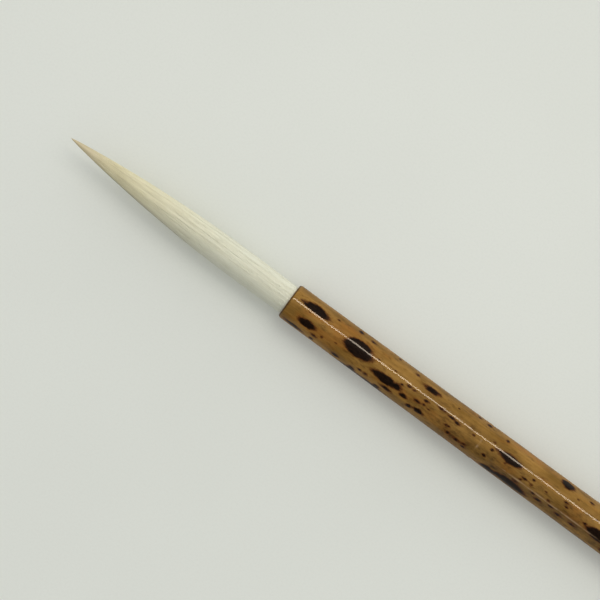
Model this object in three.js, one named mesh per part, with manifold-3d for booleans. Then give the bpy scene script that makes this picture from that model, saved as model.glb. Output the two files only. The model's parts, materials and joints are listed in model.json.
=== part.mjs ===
// A calligraphy brush with a soft goat-hair tuft and a mottled bamboo handle, in millimetres.
//
// Every piece is first shaped about the brush's own axis, which is X: the mouth of the handle is at
// x = 0, the handle runs to +X and the tuft to -X. The whole brush is then laid on its side, so that
// the underside of the tapered handle is level at z = 0.
//
// The tuft bends, so its hair is held as five short lengths that follow one another on hinges.
import * as THREE from "three";
import { mergeVertices } from "three/addons/utils/BufferGeometryUtils.js";
import Module from "manifold-3d";

const wasm = await Module();
wasm.setup();

// ---- driving dimensions -------------------------------------------------------------------------

const HANDLE_LENGTH = 195;
const MOUTH_RADIUS = 3.6;
const BUTT_RADIUS = 4.2; // the culm thickens naturally from the mouth to the butt
const MOUTH_EDGE = 0.36; // rounding of the handle's outer edge at the mouth
const BUTT_EDGE = 0.6;
const HANDLE_SIDES = 24; // a multiple of four puts one flat side exactly underneath

const SOCKET_RADIUS = 3.1;
const SOCKET_DEPTH = 13.5;
const SOCKET_CONE = 1.6; // length of the drill's conical bottom
const CANAL_RADIUS = 1.1; // the natural hollow of the culm
const PLUG_BORE_RADIUS = 1.55;
const PLUG_BORE_DEPTH = 9;
const PLUG_BORE_CONE = 0.5; // length of the step from the bore down to the canal

const NODE_PLACE = 43.5; // distance of the culm's node from the mouth
const GROOVE_LENGTH = 92; // the shallow furrow that the branch left above the node
const GROOVE_WIDTH = 2.6;
const GROOVE_DEPTH = 0.25;
const GROOVE_TURN = (46 * Math.PI) / 180; // round from the top towards -Y
const SCAR_PLACE = 45.2; // the bud's scar, at the foot of the furrow
const SCAR_LENGTH = 1.8;
const SCAR_WIDTH = 1.2;
const SCAR_DEPTH = 0.15;
const SCAR_TURN = (29 * Math.PI) / 180;
const HOLLOW_SIDES = 12; // sides of the ellipsoids that cut the furrow and the scar
const HOLLOW_RINGS = 16;

const TUFT_LENGTH = 50; // the hair that stands out of the mouth
const TUFT_RADIUS = 2.96; // at its fullest
const TUFT_FULLEST = 10; // distance of that place from the mouth
const TUFT_MOUTH_RADIUS = 2.86;
const TUFT_FULLNESS = 0.83; // below 1 the tuft swells early behind its point
const HAIR_SIDES = 20;

const ROOT_LENGTH = 11.1; // the hair that is hidden in the socket
const ROOT_NECK = 2.5; // depth at which the hair has narrowed to its bound root
const ROOT_COVER_RADIUS = 2.6;
const ROOT_BELLY_RADIUS = 1.85;
const ROOT_CORE_RADIUS = 1.35;
const BELLY_ROOT_END = 7.4; // the shorter belly hair ends before the core's binding

const LAYER_GAP = 0.12; // clearance between one layer of hair and the next
const COVER_THICKNESS = 0.55;
const BELLY_THICKNESS = 0.4;

const HINGE_PLACES = [12, 21, 30, 39]; // distances of the bending places from the mouth
const HINGE_RANGE = (25 * Math.PI) / 180;
const HINGE_SPARE = (0.8 * Math.PI) / 180;
const HINGE_GAP = 0.3;

const THREAD_RADIUS = 0.14;
const THREAD_BACK = 0.8; // height of a turn's rounded back, as a share of the thread's radius
const CORE_THREAD_PLACE = 7.9;
const CORE_THREAD_TURNS = 6;
const COVER_THREAD_PLACE = 7.2;
const COVER_THREAD_TURNS = 9;
const COVER_WAIST_RADIUS = 2.28; // the cover hair is drawn in under its binding
const WAIST_EASE = 0.3;

const GLUE_START = 2.2;
const GLUE_END = 11.4;
const GLUE_INNER_RADIUS = 2.72;
const GLUE_OUTER_RADIUS = 2.98;
const SEAL_START = 11.4;
const SEAL_THICKNESS = 1.2;
const SEAL_RADIUS = 2.6;

const PLUG_SHANK_RADIUS = 1.42;
const PLUG_LENGTH = 8.4;
const PLUG_LEAD = 0.4; // the shank's tapered leading end
const PLUG_LEAD_DEPTH = 0.25;
const PLUG_HEAD_RADIUS = 2.3;
const PLUG_HEAD_RISE = 0.9;
const PLUG_HEAD_EDGE = 0.45; // the head's straight edge, below its rounded shoulder
const PLUG_CROWN_RADIUS = 1.6; // the flat middle of the head, which the brush can stand on
const PLUG_SEAT_GAP = 0.1;
const CORD_HOLE_RADIUS = 0.6; // for a hanging loop

const CURVE_STEP = 2.6; // spacing of the points along the curve of the tuft
const ROUND_STEPS = 3; // straight steps in a quarter of a rounded edge or dome

// ---- materials ----------------------------------------------------------------------------------

function material(colour, roughness) {
  return new THREE.MeshStandardMaterial({ color: colour, roughness, metalness: 0 });
}

const bamboo = material(0xa5733c, 0.28);
const plugWood = material(0x5a3620, 0.45);
const coverHairWhite = material(0xd9d3c0, 0.6);
const innerHairCream = material(0xcfc4a4, 0.65);
const silkThread = material(0xb8322a, 0.7);
const hideGlue = material(0xc79a52, 0.35);
const pineResin = material(0x6b3a1a, 0.25);

// ---- shared shapes ------------------------------------------------------------------------------

// Turns a closed outline of [x, radius] points round the X axis.
function turned(outline, sides) {
  const flatSideDown = Math.PI / sides;
  const points = outline.map(([x, radius]) => new THREE.Vector2(radius, x));
  const geometry = new THREE.LatheGeometry(points, sides, flatSideDown, 2 * Math.PI);
  geometry.rotateZ(-Math.PI / 2);
  return geometry;
}

function piece(name, geometry, look) {
  const mesh = new THREE.Mesh(geometry, look);
  mesh.name = name;
  return mesh;
}

function solidOf(geometry) {
  const bare = geometry.clone();
  bare.deleteAttribute("normal");
  bare.deleteAttribute("uv");
  const merged = mergeVertices(bare, 1e-4);
  const vertProperties = new Float32Array(merged.attributes.position.array);
  const triVerts = new Uint32Array(merged.index.array);
  return new wasm.Manifold(new wasm.Mesh({ numProp: 3, vertProperties, triVerts }));
}

function geometryOf(solid) {
  const mesh = solid.getMesh();
  const geometry = new THREE.BufferGeometry();
  geometry.setAttribute("position", new THREE.BufferAttribute(mesh.vertProperties, 3));
  geometry.setIndex(new THREE.BufferAttribute(mesh.triVerts, 1));
  return geometry;
}

// A quarter of an ellipse about a centre, turning down from an angle, both ends included.
function quarterRound(centreX, centreRadius, reachX, reachRadius, fromAngle) {
  return Array.from({ length: ROUND_STEPS + 1 }, (_, step) => {
    const angle = fromAngle - (step / ROUND_STEPS) * (Math.PI / 2);
    return [
      centreX + reachX * Math.cos(angle),
      centreRadius + reachRadius * Math.sin(angle),
    ];
  });
}

// ---- handle -------------------------------------------------------------------------------------

// Radius from the axis to the middle of a flat side, which is the true radius of the round culm.
function handleRadius(x) {
  return MOUTH_RADIUS + ((BUTT_RADIUS - MOUTH_RADIUS) * x) / HANDLE_LENGTH;
}

// A smooth oval hollow sunk into the culm's skin, cut with a long ellipsoid.
function skinHollow(middle, length, width, depth, turn) {
  const halfHeight = width / 2;
  const reach = handleRadius(middle) + halfHeight - depth;
  // The ellipsoid is widened so that its cut at the skin has the stated length and width.
  const cutShare = Math.sqrt(1 - ((halfHeight - depth) / halfHeight) ** 2);
  const geometry = new THREE.SphereGeometry(1, HOLLOW_SIDES, HOLLOW_RINGS);
  geometry.rotateZ(Math.PI / 2);
  geometry.scale(length / 2 / cutShare, width / 2 / cutShare, halfHeight);
  geometry.translate(middle, 0, reach);
  geometry.rotateX(turn);
  return solidOf(geometry);
}

function bambooHandle() {
  const corner = 1 / Math.cos(Math.PI / HANDLE_SIDES); // corner radius over flat-side radius
  const mouthRound = quarterRound(
    MOUTH_EDGE, MOUTH_RADIUS - MOUTH_EDGE, MOUTH_EDGE, MOUTH_EDGE, Math.PI);
  const buttRound = quarterRound(
    HANDLE_LENGTH - BUTT_EDGE, BUTT_RADIUS - BUTT_EDGE, BUTT_EDGE, BUTT_EDGE, Math.PI / 2);
  const skin = [...mouthRound, ...buttRound].map(([x, radius]) => [x, radius * corner]);
  const bore = [
    [HANDLE_LENGTH, PLUG_BORE_RADIUS],
    [HANDLE_LENGTH - PLUG_BORE_DEPTH, PLUG_BORE_RADIUS],
    [HANDLE_LENGTH - PLUG_BORE_DEPTH - PLUG_BORE_CONE, CANAL_RADIUS],
    [SOCKET_DEPTH + SOCKET_CONE, CANAL_RADIUS],
    [SOCKET_DEPTH, SOCKET_RADIUS],
    [0, SOCKET_RADIUS],
  ];
  const culm = solidOf(turned([...skin, ...bore, skin[0]], HANDLE_SIDES));
  const grooveMiddle = NODE_PLACE + GROOVE_LENGTH / 2;
  const groove = skinHollow(grooveMiddle, GROOVE_LENGTH, GROOVE_WIDTH, GROOVE_DEPTH, GROOVE_TURN);
  const scar = skinHollow(SCAR_PLACE, SCAR_LENGTH, SCAR_WIDTH, SCAR_DEPTH, SCAR_TURN);
  return piece("bamboo_handle", geometryOf(culm.subtract(groove).subtract(scar)), bamboo);
}

// A turned wooden peg in the end of the culm, with a hole for a hanging loop.
function buttPlug() {
  const seat = HANDLE_LENGTH + PLUG_SEAT_GAP;
  const inEnd = HANDLE_LENGTH - PLUG_LENGTH;
  const shoulder = quarterRound(
    seat + PLUG_HEAD_EDGE, PLUG_CROWN_RADIUS,
    PLUG_HEAD_RISE - PLUG_HEAD_EDGE, PLUG_HEAD_RADIUS - PLUG_CROWN_RADIUS, Math.PI / 2);
  const outline = [
    [inEnd, CORD_HOLE_RADIUS],
    [inEnd, PLUG_SHANK_RADIUS - PLUG_LEAD_DEPTH],
    [inEnd + PLUG_LEAD, PLUG_SHANK_RADIUS],
    [seat, PLUG_SHANK_RADIUS],
    [seat, PLUG_HEAD_RADIUS],
    ...shoulder,
    [seat + PLUG_HEAD_RISE, CORD_HOLE_RADIUS],
    [inEnd, CORD_HOLE_RADIUS],
  ];
  return piece("butt_plug", turned(outline, HAIR_SIDES), plugWood);
}

// ---- tuft ---------------------------------------------------------------------------------------

// Outer radius of the exposed tuft at a distance from the mouth: a fine point that swells to the
// belly, then draws in a little where the handle grips it.
function tuftRadius(fromMouth) {
  if (fromMouth < TUFT_FULLEST) {
    const turn = (Math.PI / 2) * (1 - fromMouth / TUFT_FULLEST);
    return TUFT_RADIUS - (TUFT_RADIUS - TUFT_MOUTH_RADIUS) * (1 - Math.cos(turn));
  }
  const share = (TUFT_LENGTH - fromMouth) / (TUFT_LENGTH - TUFT_FULLEST);
  return TUFT_RADIUS * Math.sin((Math.PI / 2) * Math.max(share, 0) ** TUFT_FULLNESS);
}

const coverOuter = (fromMouth) => tuftRadius(fromMouth);
const coverInner = (fromMouth) => tuftRadius(fromMouth) - COVER_THICKNESS;
const bellyOuter = (fromMouth) => coverInner(fromMouth) - LAYER_GAP;
const bellyInner = (fromMouth) => bellyOuter(fromMouth) - BELLY_THICKNESS;
const coreInBelly = (fromMouth) => bellyInner(fromMouth) - LAYER_GAP;
const coreInCover = (fromMouth) => coverInner(fromMouth) - LAYER_GAP;

// Half the opening between two neighbouring lengths of hair, at a radius: they meet almost point
// to point on the axis, and open in a cone as wide as the bend needs.
function hingeOpening(radius) {
  return HINGE_GAP / 2 + radius * Math.tan(HINGE_RANGE / 2 + HINGE_SPARE);
}

// Points along one face of a layer, from one place to another, cut back where a hinge is.
function layerFace(radiusAt, fromMouth, toMouth, cutAtFrom, cutAtTo) {
  const from = cutAtFrom ? fromMouth + hingeOpening(radiusAt(fromMouth)) : fromMouth;
  const to = cutAtTo ? toMouth - hingeOpening(radiusAt(toMouth)) : toMouth;
  const steps = Math.max(2, Math.round((to - from) / CURVE_STEP));
  return Array.from({ length: steps + 1 }, (_, step) => {
    const fromHere = from + ((to - from) * step) / steps;
    return [-fromHere, radiusAt(fromHere)];
  });
}

// The apex of the cone that faces a hinge, for a solid core: side is +1 towards the handle.
function hingeApex(place, side) {
  return [-place + (side * HINGE_GAP) / 2, 0];
}

// One length of a hollow layer between two hinges. The outline runs from the tip end to the mouth
// end along the outside, and back along the inside.
function hollowLength(name, outer, inner, nearHinge, farHinge) {
  const outside = layerFace(outer, nearHinge, farHinge, true, true).reverse();
  const inside = layerFace(inner, nearHinge, farHinge, true, true);
  return piece(name, turned([...outside, ...inside, outside[0]], HAIR_SIDES), coverHairWhite);
}

function solidLength(name, outer, nearHinge, farHinge) {
  const outside = layerFace(outer, nearHinge, farHinge, true, true).reverse();
  const outline = [hingeApex(farHinge, 1), ...outside, hingeApex(nearHinge, -1)];
  return piece(name, turned(outline, HAIR_SIDES), innerHairCream);
}

function coverHairRoot() {
  const waistStart = COVER_THREAD_PLACE - WAIST_EASE;
  const waistEnd = COVER_THREAD_PLACE + 2 * THREAD_RADIUS * COVER_THREAD_TURNS + WAIST_EASE;
  const outside = layerFace(coverOuter, 0, HINGE_PLACES[0], false, true).reverse();
  const inside = layerFace(coverInner, 0, HINGE_PLACES[0], false, true);
  const rootInner = ROOT_BELLY_RADIUS + LAYER_GAP;
  const outline = [
    ...outside,
    [ROOT_NECK, ROOT_COVER_RADIUS],
    [waistStart - WAIST_EASE, ROOT_COVER_RADIUS],
    [waistStart, COVER_WAIST_RADIUS],
    [waistEnd, COVER_WAIST_RADIUS],
    [waistEnd + WAIST_EASE, ROOT_COVER_RADIUS],
    [ROOT_LENGTH, ROOT_COVER_RADIUS],
    [ROOT_LENGTH, rootInner],
    [ROOT_NECK, rootInner],
    ...inside,
    outside[0],
  ];
  return piece("cover_hair_root", turned(outline, HAIR_SIDES), coverHairWhite);
}

function bellyHairRoot() {
  const outside = layerFace(bellyOuter, 0, HINGE_PLACES[0], false, true).reverse();
  const inside = layerFace(bellyInner, 0, HINGE_PLACES[0], false, true);
  const rootInner = ROOT_CORE_RADIUS + LAYER_GAP;
  const outline = [
    ...outside,
    [ROOT_NECK, ROOT_BELLY_RADIUS],
    [BELLY_ROOT_END, ROOT_BELLY_RADIUS],
    [BELLY_ROOT_END, rootInner],
    [ROOT_NECK, rootInner],
    ...inside,
    outside[0],
  ];
  return piece("belly_hair_root", turned(outline, HAIR_SIDES), innerHairCream);
}

function coreHairRoot() {
  const outside = layerFace(coreInBelly, 0, HINGE_PLACES[0], false, true).reverse();
  const outline = [
    hingeApex(HINGE_PLACES[0], 1),
    ...outside,
    [ROOT_NECK, ROOT_CORE_RADIUS],
    [ROOT_LENGTH, ROOT_CORE_RADIUS],
    [ROOT_LENGTH, 0],
  ];
  return piece("core_hair_root", turned(outline, HAIR_SIDES), innerHairCream);
}

function hairPoint() {
  const lastHinge = HINGE_PLACES[HINGE_PLACES.length - 1];
  const outside = layerFace(coverOuter, lastHinge, TUFT_LENGTH, true, false).reverse();
  const outline = [[-TUFT_LENGTH, 0], ...outside.slice(1), hingeApex(lastHinge, -1)];
  return piece("hair_point", turned(outline, HAIR_SIDES), coverHairWhite);
}

// ---- bindings, glue and seal --------------------------------------------------------------------

// Turns of thread laid side by side round a bundle, as one ring with a rounded back to each turn.
function binding(name, place, turns, innerRadius) {
  const back = Array.from({ length: turns * ROUND_STEPS + 1 }, (_, step) => {
    const height = Math.abs(Math.sin((Math.PI * step) / ROUND_STEPS));
    const along = (2 * THREAD_RADIUS * step) / ROUND_STEPS;
    return [place + along, innerRadius + THREAD_RADIUS * (1 + THREAD_BACK * height)];
  });
  const outline = [
    [place, innerRadius],
    ...back,
    [place + 2 * THREAD_RADIUS * turns, innerRadius],
    [place, innerRadius],
  ];
  return piece(name, turned(outline, HAIR_SIDES), silkThread);
}

function socketGlue() {
  const outline = [
    [GLUE_START, GLUE_INNER_RADIUS],
    [GLUE_START, GLUE_OUTER_RADIUS],
    [GLUE_END, GLUE_OUTER_RADIUS],
    [GLUE_END, GLUE_INNER_RADIUS],
    [GLUE_START, GLUE_INNER_RADIUS],
  ];
  return piece("socket_glue", turned(outline, HAIR_SIDES), hideGlue);
}

// The drop of resin that locks the cut ends of all the hair together.
function rootSeal() {
  const dome = quarterRound(SEAL_START, 0, SEAL_THICKNESS, SEAL_RADIUS, Math.PI / 2);
  const outline = [[SEAL_START, 0], ...dome.slice(0, -1), [SEAL_START + SEAL_THICKNESS, 0]];
  return piece("root_seal", turned(outline, HAIR_SIDES), pineResin);
}

// ---- assembly -----------------------------------------------------------------------------------

function brushOnItsAxis() {
  const [first, second, third, fourth] = HINGE_PLACES;
  const coreThreadRadius = ROOT_CORE_RADIUS + LAYER_GAP;
  const coverThreadRadius = COVER_WAIST_RADIUS + LAYER_GAP / 2;
  const brush = new THREE.Group();
  brush.add(
    bambooHandle(),
    buttPlug(),
    coreHairRoot(),
    bellyHairRoot(),
    coverHairRoot(),
    binding("core_thread", CORE_THREAD_PLACE, CORE_THREAD_TURNS, coreThreadRadius),
    binding("cover_thread", COVER_THREAD_PLACE, COVER_THREAD_TURNS, coverThreadRadius),
    socketGlue(),
    rootSeal(),
    solidLength("core_hair_lower", coreInBelly, first, second),
    hollowLength("belly_hair_lower", bellyOuter, bellyInner, first, second),
    hollowLength("cover_hair_lower", coverOuter, coverInner, first, second),
    solidLength("core_hair_middle", coreInBelly, second, third),
    hollowLength("belly_hair_middle", bellyOuter, bellyInner, second, third),
    hollowLength("cover_hair_middle", coverOuter, coverInner, second, third),
    solidLength("core_hair_upper", coreInCover, third, fourth),
    hollowLength("cover_hair_upper", coverOuter, coverInner, third, fourth),
    hairPoint(),
  );
  return brush;
}

// The brush lies on the flat side underneath its tapered handle, with the middle of its whole
// length over the origin.
function laidDown(brush) {
  const taper = Math.atan2(BUTT_RADIUS - MOUTH_RADIUS, HANDLE_LENGTH);
  const wholeLength = TUFT_LENGTH + HANDLE_LENGTH + PLUG_SEAT_GAP + PLUG_HEAD_RISE;
  const middle = wholeLength / 2 - TUFT_LENGTH;
  brush.rotation.y = -taper;
  brush.position.x = -middle * Math.cos(taper);
  brush.position.z = MOUTH_RADIUS * Math.cos(taper);
  return brush;
}

const calligraphyBrush = new THREE.Group();
calligraphyBrush.add(laidDown(brushOnItsAxis()));

export default calligraphyBrush;
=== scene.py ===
"""The looks of a calligraphy brush: a soft white goat-hair tuft in a mottled, lacquered bamboo handle.

The brush lies along X with its hair point towards -X. Shapes are worked out in the brush's own
coordinates, in millimetres: x along its axis from the mouth of the handle towards the butt, and a
turn round the axis that is 0 on top and grows towards +Y. to_row() brings them into the frame.
"""
import json
import math
import random

import bmesh
import bpy
import numpy as np
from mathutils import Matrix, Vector


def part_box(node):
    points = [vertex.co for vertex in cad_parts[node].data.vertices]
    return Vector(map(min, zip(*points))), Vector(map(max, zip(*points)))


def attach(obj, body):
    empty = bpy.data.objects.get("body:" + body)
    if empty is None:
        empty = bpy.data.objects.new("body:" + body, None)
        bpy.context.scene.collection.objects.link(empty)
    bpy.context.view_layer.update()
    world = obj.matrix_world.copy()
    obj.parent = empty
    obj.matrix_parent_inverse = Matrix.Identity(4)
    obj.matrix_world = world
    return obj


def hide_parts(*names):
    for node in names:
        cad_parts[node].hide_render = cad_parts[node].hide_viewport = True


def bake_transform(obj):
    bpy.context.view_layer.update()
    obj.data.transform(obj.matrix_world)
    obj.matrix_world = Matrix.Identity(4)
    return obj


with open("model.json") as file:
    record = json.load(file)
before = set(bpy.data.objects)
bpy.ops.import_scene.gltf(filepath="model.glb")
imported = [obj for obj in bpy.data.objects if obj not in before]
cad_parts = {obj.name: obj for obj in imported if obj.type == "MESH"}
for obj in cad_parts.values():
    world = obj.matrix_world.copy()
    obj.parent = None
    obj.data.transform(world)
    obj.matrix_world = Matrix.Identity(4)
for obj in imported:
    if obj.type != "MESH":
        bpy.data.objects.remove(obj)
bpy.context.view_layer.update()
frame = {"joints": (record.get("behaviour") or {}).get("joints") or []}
RANDOM = random.Random(47)

MM = 0.001
TURN = 2 * math.pi
SAME_POINT = 1e-7  # points of a mesh this close, in metres, count as one

# ---- places taken from the frame ------------------------------------------------------------------

HINGES = [Vector(joint["pos_m"]) for joint in frame["joints"]]
HANDLE_LOW, HANDLE_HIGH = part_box("bamboo_handle")
ALONG = (HINGES[0] - HINGES[-1]).normalized()
SIDE = Vector((0, 1, 0))
UP = ALONG.cross(SIDE)
MOUTH = HINGES[0] + ALONG * ((HANDLE_LOW.x - HINGES[0].x) / ALONG.x)


def distance_from_mouth(point):
    """How far a point of the frame lies along the axis, in mm, positive towards the butt."""
    return (point - MOUTH).dot(ALONG) / MM


HANDLE_LENGTH = distance_from_mouth(HANDLE_HIGH)
MOUTH_RADIUS = MOUTH.z / ALONG.x / MM
BUTT_RADIUS = (HANDLE_HIGH.y - HANDLE_LOW.y) / 2 / MM
TUFT_LENGTH = -distance_from_mouth(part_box("hair_point")[0])
HINGE_PLACES = [round(-distance_from_mouth(point), 2) for point in HINGES]


def to_row(points):
    """Points in the brush's own coordinates, in mm, as points of the frame, in metres."""
    axes = np.array([ALONG, SIDE, UP])
    return np.asarray(points) * MM @ axes + np.array(MOUTH)


# ---- mesh making ------------------------------------------------------------------------------------


def ring(x, radius, turns, centre=(0.0, 0.0)):
    """A ring of points round the axis. radius may be one number or one for each turn."""
    y = centre[0] + radius * np.sin(turns)
    z = centre[1] + radius * np.cos(turns)
    return np.stack([np.full_like(turns, x), y, z], axis=1)


def turns_round(sides):
    """Evenly spaced turns round the axis, one for each side."""
    return np.arange(sides) * TURN / sides


def tube_faces(rings, sides, first, closes):
    """Faces of a tube of rings whose points start at index first. It either closes on itself, as a
    ring-shaped body does, or ends in two caps."""
    faces = []
    for i in range(rings if closes else rings - 1):
        here = first + i * sides
        there = first + (i + 1) % rings * sides
        for j in range(sides):
            k = (j + 1) % sides
            faces.append((here + j, here + k, there + k, there + j))
    if not closes:
        start_cap = first + rings * sides
        end_cap = start_cap + sides
        faces.append(tuple(range(start_cap + sides - 1, start_cap - 1, -1)))
        faces.append(tuple(range(end_cap, end_cap + sides)))
    return faces


def with_cap_points(values, closes):
    """Values of a tube, ring by ring, then again those of its two end rings, for the caps."""
    if closes:
        return values.reshape(-1, *values.shape[2:])
    return np.concatenate([*values, values[0], values[-1]])


def is_inside_out(mesh):
    """Whether the faces of a closed mesh point inwards. Its caps are joined on for the test."""
    shell = bmesh.new()
    shell.from_mesh(mesh)
    bmesh.ops.remove_doubles(shell, verts=shell.verts, dist=SAME_POINT)
    volume = shell.calc_volume(signed=True)
    shell.free()
    return volume < 0


def mesh_piece(name, tubes, materials, closes=False, attributes=None, sharp_degrees=None):
    """One mesh object of closed tubes, each an array of rings by sides by 3, in mm. attributes holds
    for each name a list with one array of rings by sides, or one number, for each tube."""
    points = []
    faces = []
    first = 0
    for tube in tubes:
        points.append(with_cap_points(tube, closes))
        faces += tube_faces(*tube.shape[:2], first, closes)
        first += len(points[-1])
    mesh = bpy.data.meshes.new(name)
    mesh.from_pydata(to_row(np.concatenate(points)).tolist(), [], faces)
    for key, tube_values in (attributes or {}).items():
        spread = [np.broadcast_to(values, tube.shape[:2]) for values, tube in zip(tube_values, tubes)]
        values = np.concatenate([with_cap_points(part, closes) for part in spread])
        layer = mesh.attributes.new(key, "FLOAT", "POINT")
        layer.data.foreach_set("value", values.astype(np.float32))
    for material in materials:
        mesh.materials.append(material)
    mesh.shade_smooth()
    if sharp_degrees:
        mesh.set_sharp_from_angle(angle=math.radians(sharp_degrees))
    if is_inside_out(mesh):
        mesh.flip_normals()
    piece = bpy.data.objects.new(name, mesh)
    bpy.context.scene.collection.objects.link(piece)
    return piece


# ---- material making --------------------------------------------------------------------------------


class Look:
    """A material being built: a short way to add nodes and join them."""

    def __init__(self, name):
        self.material = bpy.data.materials.new(name)
        self.material.use_nodes = True
        self.tree = self.material.node_tree
        self.shader = self.tree.nodes["Principled BSDF"]

    def node(self, kind, **settings):
        made = self.tree.nodes.new(kind)
        for key, value in settings.items():
            setattr(made, key, value)
        return made

    def join(self, source, target):
        self.tree.links.new(source, target)

    def set(self, **values):
        """Constants on the shader's own sockets: coat_weight=1 sets Coat Weight."""
        for key, value in values.items():
            name = key.replace("_", " ").title().replace("Ior", "IOR")
            self.shader.inputs[name].default_value = value

    def attribute(self, name):
        return self.node("ShaderNodeAttribute", attribute_name=name).outputs["Fac"]

    def place(self, scale):
        """Object coordinates in metres, stretched by a scale along each axis."""
        coordinates = self.node("ShaderNodeTexCoord").outputs["Object"]
        stretch = self.node("ShaderNodeMapping")
        stretch.inputs["Scale"].default_value = scale
        self.join(coordinates, stretch.inputs["Vector"])
        return stretch.outputs["Vector"]

    def noise(self, scale, detail=3.0, roughness=0.5):
        """Noise from 0 to 1 whose cells are 1/scale metres along each axis."""
        made = self.node("ShaderNodeTexNoise")
        made.inputs["Scale"].default_value = 1.0
        made.inputs["Detail"].default_value = detail
        made.inputs["Roughness"].default_value = roughness
        self.join(self.place(scale), made.inputs["Vector"])
        return made.outputs["Fac"]

    def steps(self, value, low, high, to_low=0.0, to_high=1.0):
        """value between low and high, eased, as a number between to_low and to_high."""
        made = self.node("ShaderNodeMapRange", interpolation_type="SMOOTHSTEP")
        limits = {"From Min": low, "From Max": high, "To Min": to_low, "To Max": to_high}
        for key, number in limits.items():
            made.inputs[key].default_value = number
        self.join(value, made.inputs["Value"])
        return made.outputs["Result"]

    def maths(self, operation, first, second):
        """Arithmetic on two values, each a number or another node's output."""
        made = self.node("ShaderNodeMath", operation=operation)
        for socket, value in zip(made.inputs, (first, second)):
            if isinstance(value, (int, float)):
                socket.default_value = value
            else:
                self.join(value, socket)
        return made.outputs["Value"]

    def mix(self, share, first, second):
        """Colours mixed by share. A colour is a linear RGB triple or another node's output."""
        made = self.node("ShaderNodeMix", data_type="RGBA")
        sockets = {socket.identifier: socket for socket in made.inputs}
        for key, value in (("A_Color", first), ("B_Color", second)):
            if isinstance(value, tuple):
                sockets[key].default_value = (*value, 1.0)
            else:
                self.join(value, sockets[key])
        if isinstance(share, (int, float)):
            sockets["Factor_Float"].default_value = share
        else:
            self.join(share, sockets["Factor_Float"])
        return next(socket for socket in made.outputs if socket.identifier == "Result_Color")

    def bump(self, height, distance, strength=1.0):
        """A surface direction for fine relief. A height of 1 stands out by distance, in metres."""
        made = self.node("ShaderNodeBump")
        made.inputs["Strength"].default_value = strength
        made.inputs["Distance"].default_value = distance
        self.join(height, made.inputs["Height"])
        return made.outputs["Normal"]


def srgb(red, green, blue):
    """A colour given as it looks on a screen, 0 to 255, as a linear RGB triple."""
    parts = [value / 255 for value in (red, green, blue)]
    return tuple(v / 12.92 if v <= 0.04045 else ((v + 0.055) / 1.055) ** 2.4 for v in parts)


# ---- the culm's marks -------------------------------------------------------------------------------

NODE_PLACE = 43.5  # where the culm's node was planed flat
NODE_RING_HEIGHT = 0.045
NODE_RING_WIDTH = 0.3
NODE_DIP_OFFSET = 0.9  # a shallow dip follows the ring
NODE_DIP_DEPTH = 0.04
NODE_DIP_WIDTH = 0.5
FURROW_LENGTH = 92.0  # the furrow that a branch leaves above its node
FURROW_TURN = math.radians(-46)
FURROW_DEPTH = 0.15
FURROW_WIDTH = 0.95
FURROW_START_EASE = 4.0
FURROW_END_EASE = 60.0
LIP_TURN = math.radians(-28.5)  # the furrow's upper lip
LIP_HEIGHT = 0.05
LIP_WIDTH = 0.3
SCAR_PLACE = 45.2  # the small branch scar, just past the node
SCAR_TURN = math.radians(-29)
SCAR_DEPTH = 0.12
SCAR_HALF_LENGTH = 0.7
SCAR_HALF_WIDTH = 0.45
OVALNESS = 0.015
SKIN_SINK = 0.02  # the real surface lies this far under the plain culm

# A painted highlight along the furrow's lip, and a paler line along the node's ring.
PAINTED_LIP_HIGHLIGHT_WIDTH = 0.2
PAINTED_LIP_HIGHLIGHT_FROM = 44.0
PAINTED_LIP_HIGHLIGHT_TO = 80.0
PALE_RING_WIDTH = 0.28
PALE_RING_TURN = math.radians(-13)
PALE_RING_SPREAD = math.radians(24)
PALE_RING_STRENGTH = 0.75
PAINTED_FURROW_SHADE_PLACE = 51.5  # a patch of painted shade on the furrow's lower side
PAINTED_FURROW_SHADE_TURN = math.radians(-66)
PAINTED_FURROW_SHADE_HALF_LENGTH = 6.0
PAINTED_FURROW_SHADE_HALF_WIDTH = 1.1
PAINTED_FURROW_SHADE_STRENGTH = 0.55
PAINTED_SIDE_SHADE_TURN = math.radians(-38)  # even painted shade along the furrow's side of the culm, its -Y side
PAINTED_SIDE_SHADE_SPREAD = math.radians(42)
PAINTED_SIDE_SHADE_STRENGTH = 0.43
PAINTED_SIDE_SHADE_FROM = 12.0
PAINTED_SIDE_SHADE_EASE = 28.0

# Natural dark spots on the side that faces up. For each, in mm as seen from above: its place along
# the handle, the offset of its widest line to the side, its length, and how far it reaches from that
# line towards +Y and towards -Y.
SPOTS = [
    (5.25, 1.25, 6.0, 1.28, 0.35), (5.2, -1.53, 3.8, 0.72, 0.75), (15.5, 0.1, 6.7, 1.05, 1.3),
    (15.5, 0.9, 4.9, 1.12, 0.9), (22.7, -1.25, 6.0, 0.78, 0.85), (25.2, -1.1, 2.2, 0.62, 0.62),
    (30.95, 2.23, 3.6, 0.5, 0.48), (49.9, 0.4, 5.3, 0.95, 0.75), (47.8, 0.5, 2.2, 0.3, 0.3),
    (71.1, -1.3, 5.6, 1.0, 1.1), (61.3, 3.15, 3.2, 0.4, 0.7), (31.0, -2.42, 2.1, 0.36, 0.36),
    (29.8, -1.0, 1.3, 0.28, 0.26), (27.1, -1.75, 1.6, 0.38, 0.4), (52.3, -3.2, 7.4, 0.5, 0.45),
    (47.4, -3.4, 4.0, 0.32, 0.3),
]
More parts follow.
